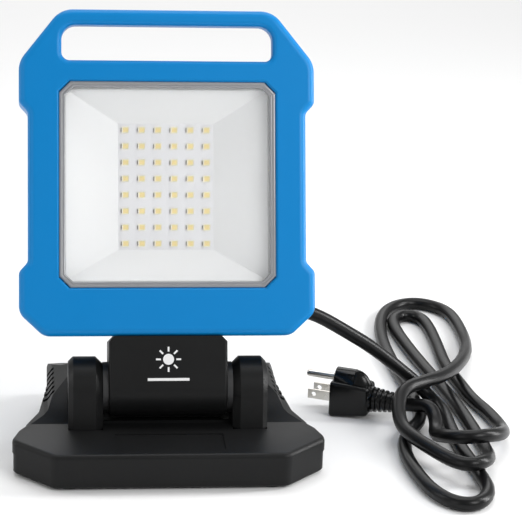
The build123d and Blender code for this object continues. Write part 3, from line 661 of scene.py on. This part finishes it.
# ---------------------------------------------------------------- back of the head
# A die-cast finned plate carries the heat away; a black box screwed to it holds the driver,
# the push button and the cord gland.
coat_cad(
    finish("bare_aluminium", (0.50, 0.51, 0.52), 0.42, grain=0.5, scale=500, dust=0.12, Metallic=0.9),
    "heat_sink",
)
black = finish(
    "black_plastic", (0.0050, 0.0052, 0.0054), 0.44, grain=0.45, scale=1500, dust=0.03,
    gloss_change=0.14, Specular_IOR_Level=0.20,
)
coat_cad(black, "driver_cover", "cord_gland", "gland_nut", "hinge_block", "switch_socket", "driver_parts")
coat_cad(finish("green_board", (0.02, 0.14, 0.05), 0.4, grain=0.1), "driver_board")
steel = finish(
    "bare_steel", (0.50, 0.50, 0.51), 0.34, grain=0.25, scale=1300, dust=0.08, Metallic=1.0
)
coat_cad(steel, "cover_screws", "board_standoffs", "block_screws", "tilt_axle", "axle_nut")
coat_cad(steel, "base_screws", "ear_screws", "ballast_plate", "ballast_screws")
coat_cad(finish("bush_bronze", (0.42, 0.28, 0.12), 0.45, grain=0.3, Metallic=0.9), "axle_bushes")
coat_cad(finish("button_rubber", (0.30, 0.012, 0.010), 0.55, grain=0.35, dust=0.08), "switch_button")
coat_cad(jacket, "lead_tail")

# The head's strain relief is a soft tapered sleeve with rings cut into it.
GLAND = (53 * MM, 27 * MM, 48.5 * MM)
SLEEVE_L = 24 * MM
SLEEVE_R = 7 * MM
RINGS = 5
RING_PITCH = 3.6 * MM
profile = [(0, 0), (0, SLEEVE_R), (2 * MM, SLEEVE_R)]
for i in range(RINGS):
    start = 3 * MM + i * RING_PITCH
    crest = (6.9 - 0.32 * i) * MM
    profile += [(start, crest - 1.1 * MM), (start + 0.9 * MM, crest - 1.1 * MM), (start + 1.2 * MM, crest)]
    profile += [(start + 2.9 * MM, crest - 0.12 * MM)]
profile += [(22 * MM, 5.2 * MM), (SLEEVE_L, 5.0 * MM), (SLEEVE_L, 0)]
sleeve = lathe("relief_sleeve", profile)
sleeve.data.transform(Matrix.Translation(GLAND))
on_head(sleeve)
sleeve.data.materials.append(jacket)
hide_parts("cord_relief")
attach(sleeve, "head")

# ---------------------------------------------------------------- mark on the hinge block
# A plain white pad print on the block's front: a small sun with eight rays over a short bar.
# The ink is a thin layer that stands just proud of the plastic.
PRINT_FRONT = FACE_W - 0.12 * MM
PRINT_T = 0.2 * MM
SUN_V = 17.5 * MM
SUN_R = 3.4 * MM
RAYS = 8
RAY_L = 3.0 * MM
RAY_W = 1.1 * MM
face_on = (math.radians(90), 0, 0)
print_depth = PRINT_FRONT + PRINT_T / 2
sun = rod("sun_print", SUN_R, PRINT_T, (0, print_depth, SUN_V), face_on)
for i in range(RAYS):
    ray = block("ray", (RAY_L, PRINT_T, RAY_W), (SUN_R + 2.9 * MM, print_depth, 0))
    ray.data.transform(Matrix.Rotation(i * math.tau / RAYS, 4, "Y"))
    ray.data.transform(Matrix.Translation((0, 0, SUN_V)))
    only(sun)
    ray.select_set(True)
    bpy.ops.object.join()
bar = block("bar", (26 * MM, PRINT_T, 1.7 * MM), (0, print_depth, 5.0 * MM))
only(sun)
bar.select_set(True)
bpy.ops.object.join()
on_head(sun)
sun.data.materials.clear()
sun.data.materials.append(finish("white_print", (0.80, 0.80, 0.80), 0.5, grain=0.1, dust=0.08))
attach(sun, "head")

# ---------------------------------------------------------------- ears, washers and base
# The ears, their caps and both halves of the base are moulded in the same black plastic, with a
# fine spark-eroded texture. The washers that clamp the block between the ears are a duller black.
coat_cad(black, "ear_left", "ear_right", "axle_caps", "base_shell", "base_tray")
coat_cad(finish("washer_plastic", (0.016, 0.016, 0.017), 0.5, grain=0.2), "friction_washers")

# ---------------------------------------------------------------- floor and light
# A pale seamless floor in an evenly lit white room. A key light from the right, a fill from the
# left and a top light shape the piece; a narrow strip on each side edges it, and one more lamp
# keeps the floor behind it white.
bpy.ops.object.select_all(action="DESELECT")
bpy.ops.mesh.primitive_plane_add(size=14, location=(0, 2, 0))
floor = bpy.context.object
floor.name = "floor"
pale = bpy.data.materials.new("pale_floor")
pale.use_nodes = True
pale.node_tree.nodes["Principled BSDF"].inputs["Base Color"].default_value = (0.86, 0.86, 0.86, 1)
pale.node_tree.nodes["Principled BSDF"].inputs["Roughness"].default_value = 0.9
floor.data.materials.append(pale)

world = bpy.data.worlds.new("studio")
bpy.context.scene.world = world
world.use_nodes = True
world.node_tree.nodes["Background"].inputs["Color"].default_value = (1, 1, 1, 1)
world.node_tree.nodes["Background"].inputs["Strength"].default_value = 0.36


def softbox(name, place, target, size, power):
    bpy.ops.object.light_add(type="AREA", location=place)
    lamp = bpy.context.object
    lamp.name = name
    lamp.data.shape = "RECTANGLE"
    lamp.data.size, lamp.data.size_y = size
    lamp.data.energy = power
    lamp.rotation_euler = (Vector(target) - Vector(place)).to_track_quat("-Z", "Y").to_euler()


middle = (0.05, 0, 0.12)
softbox("key", (1.0, -1.1, 1.0), middle, (0.7, 0.7), 14)
softbox("fill", (-1.4, -1.2, 0.7), middle, (0.9, 1.2), 5)
softbox("top", (0.1, 0.4, 1.5), middle, (1.4, 0.9), 12)
softbox("right_strip", (1.1, 0.1, 0.45), (0.0, 0.0, 0.15), (0.16, 0.9), 11)
softbox("left_strip", (-1.1, 0.25, 0.5), (0.0, 0.0, 0.12), (0.16, 0.9), 3)
softbox("floor_behind", (0.0, 2.9, 1.4), (0.0, 2.7, 0.0), (3.2, 1.6), 36)
